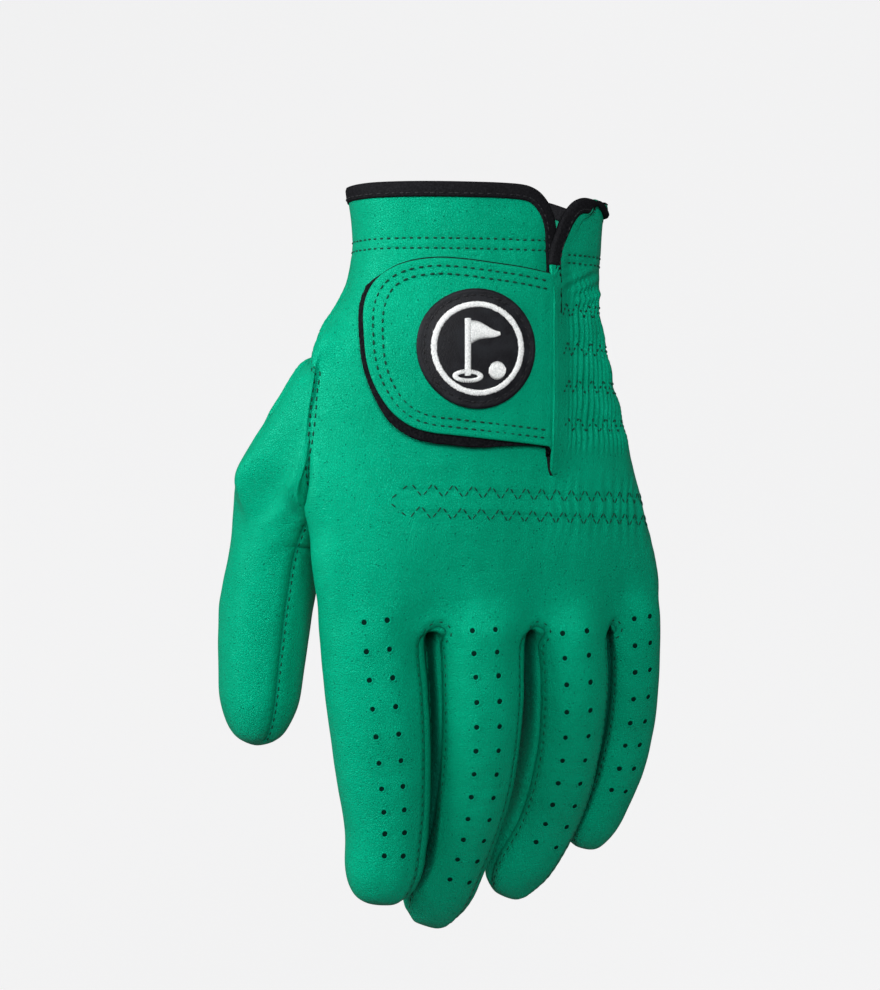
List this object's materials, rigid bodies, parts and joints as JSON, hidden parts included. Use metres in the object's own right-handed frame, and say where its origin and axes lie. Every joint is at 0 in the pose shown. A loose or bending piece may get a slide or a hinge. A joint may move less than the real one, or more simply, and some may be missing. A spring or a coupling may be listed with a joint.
{
  "type": "golf glove",
  "caption": "Left-hand leather golf glove in worn shape, with perforated fingers, elasticated back and a round badge on its closing tab.",
  "frame": {"origin": "middle of the wrist opening, at the cuff edge", "axes": "+Z out of the wrist opening, the back of the hand faces -Y, the thumb is on the -X side"},
  "size_m": [0.1219, 0.06, 0.2013],
  "materials": {
    "green_leather": "satin",
    "black_leather": "satin",
    "black_binding": "matte",
    "hook_and_loop": "matte",
    "white_embroidery": "satin",
    "green_thread": "matte",
    "black_thread": "matte",
    "elastic": "matte"
  },
  "bodies": {
    "hand_shell": {"back_panel": "green_leather", "cuff_binding": "black_binding", "cuff_stitching": "green_thread", "index_side_panel": "green_leather", "knuckle_elastic": "elastic", "knuckle_stitching": "green_thread", "loop_patch": "hook_and_loop", "palm_panel": "green_leather", "shirring_stitching": "green_thread", "slit_binding": "black_binding", "thumb_base_inner": "green_leather", "thumb_base_outer": "green_leather", "thumb_seam_stitching": "green_thread", "wrist_elastics": "elastic"},
    "closure_tab": {"badge_disc": "black_leather", "badge_emblem": "white_embroidery", "badge_ring": "white_embroidery", "badge_stitching": "black_thread", "hook_tape": "hook_and_loop", "tab_leather": "green_leather", "tab_stitching": "green_thread"},
    "index_base": {"index_proximal_fork": "green_leather", "index_proximal_stitching": "green_thread", "index_proximal_trank": "green_leather"},
    "index_tip": {"index_distal_fork": "green_leather", "index_distal_stitching": "green_thread", "index_distal_trank": "green_leather"},
    "middle_base": {"middle_proximal_back": "green_leather", "middle_proximal_forks": "green_leather", "middle_proximal_palm": "green_leather", "middle_proximal_stitching": "green_thread"},
    "middle_tip": {"middle_distal_back": "green_leather", "middle_distal_forks": "green_leather", "middle_distal_palm": "green_leather", "middle_distal_stitching": "green_thread"},
    "ring_base": {"ring_proximal_back": "green_leather", "ring_proximal_forks": "green_leather", "ring_proximal_palm": "green_leather", "ring_proximal_stitching": "green_thread"},
    "ring_tip": {"ring_distal_back": "green_leather", "ring_distal_forks": "green_leather", "ring_distal_palm": "green_leather", "ring_distal_stitching": "green_thread"},
    "little_base": {"little_proximal_back": "green_leather", "little_proximal_fork": "green_leather", "little_proximal_palm": "green_leather", "little_proximal_stitching": "green_thread"},
    "little_tip": {"little_distal_back": "green_leather", "little_distal_fork": "green_leather", "little_distal_palm": "green_leather", "little_distal_stitching": "green_thread"},
    "thumb_base": {"thumb_proximal_inner": "green_leather", "thumb_proximal_outer": "green_leather", "thumb_proximal_stitching": "green_thread"},
    "thumb_tip": {"thumb_distal_inner": "green_leather", "thumb_distal_outer": "green_leather", "thumb_distal_stitching": "green_thread"}
  },
  "joints": [
    {"name": "tab_open", "type": "hinge", "parent": "hand_shell", "child": "closure_tab", "pos_m": [0.0133, -0.01847, -0.041], "axis": [0, 0, 1], "range_deg": [0, 105]},
    {"name": "index_root_bend", "type": "hinge", "parent": "hand_shell", "child": "index_base", "pos_m": [-0.02898, 0.00821, -0.12203], "axis": [0.9949, 0, 0.1013], "range_deg": [-8, 25], "stiffness_Nm_per_rad": 0.03},
    {"name": "index_middle_bend", "type": "hinge", "parent": "index_base", "child": "index_tip", "pos_m": [-0.02532, 0.01069, -0.15299], "axis": [0.9934, 0, 0.1144], "range_deg": [-8, 55], "stiffness_Nm_per_rad": 0.03},
    {"name": "middle_root_bend", "type": "hinge", "parent": "hand_shell", "child": "middle_base", "pos_m": [-0.00028, 0.00506, -0.12137], "axis": [0.998, 0, 0.0636], "range_deg": [-8, 35], "stiffness_Nm_per_rad": 0.03},
    {"name": "middle_middle_bend", "type": "hinge", "parent": "middle_base", "child": "middle_tip", "pos_m": [0.00069, 0.01121, -0.15485], "axis": [0.9992, 0, -0.0399], "range_deg": [-8, 55], "stiffness_Nm_per_rad": 0.03},
    {"name": "ring_root_bend", "type": "hinge", "parent": "hand_shell", "child": "ring_base", "pos_m": [0.02604, 0.00718, -0.1216], "axis": [0.9931, 0, 0.1175], "range_deg": [-8, 35], "stiffness_Nm_per_rad": 0.03},
    {"name": "ring_middle_bend", "type": "hinge", "parent": "ring_base", "child": "ring_tip", "pos_m": [0.02802, 0.01546, -0.15164], "axis": [0.9987, 0, -0.0512], "range_deg": [-8, 55], "stiffness_Nm_per_rad": 0.03},
    {"name": "little_root_bend", "type": "hinge", "parent": "hand_shell", "child": "little_base", "pos_m": [0.04708, 0.01266, -0.12109], "axis": [0.9926, 0, 0.1215], "range_deg": [-8, 35], "stiffness_Nm_per_rad": 0.03},
    {"name": "little_middle_bend", "type": "hinge", "parent": "little_base", "child": "little_tip", "pos_m": [0.04845, 0.02047, -0.14399], "axis": [0.9997, 0, -0.023], "range_deg": [-8, 55], "stiffness_Nm_per_rad": 0.03},
    {"name": "thumb_root_bend", "type": "hinge", "parent": "hand_shell", "child": "thumb_base", "pos_m": [-0.04648, 0.02798, -0.09112], "axis": [0.8502, -0.4886, -0.1961], "range_deg": [-6, 20], "stiffness_Nm_per_rad": 0.03},
    {"name": "thumb_middle_bend", "type": "hinge", "parent": "thumb_base", "child": "thumb_tip", "pos_m": [-0.04918, 0.03078, -0.12113], "axis": [0.8654, -0.4973, -0.0619], "range_deg": [-8, 40], "stiffness_Nm_per_rad": 0.03}
  ]
}
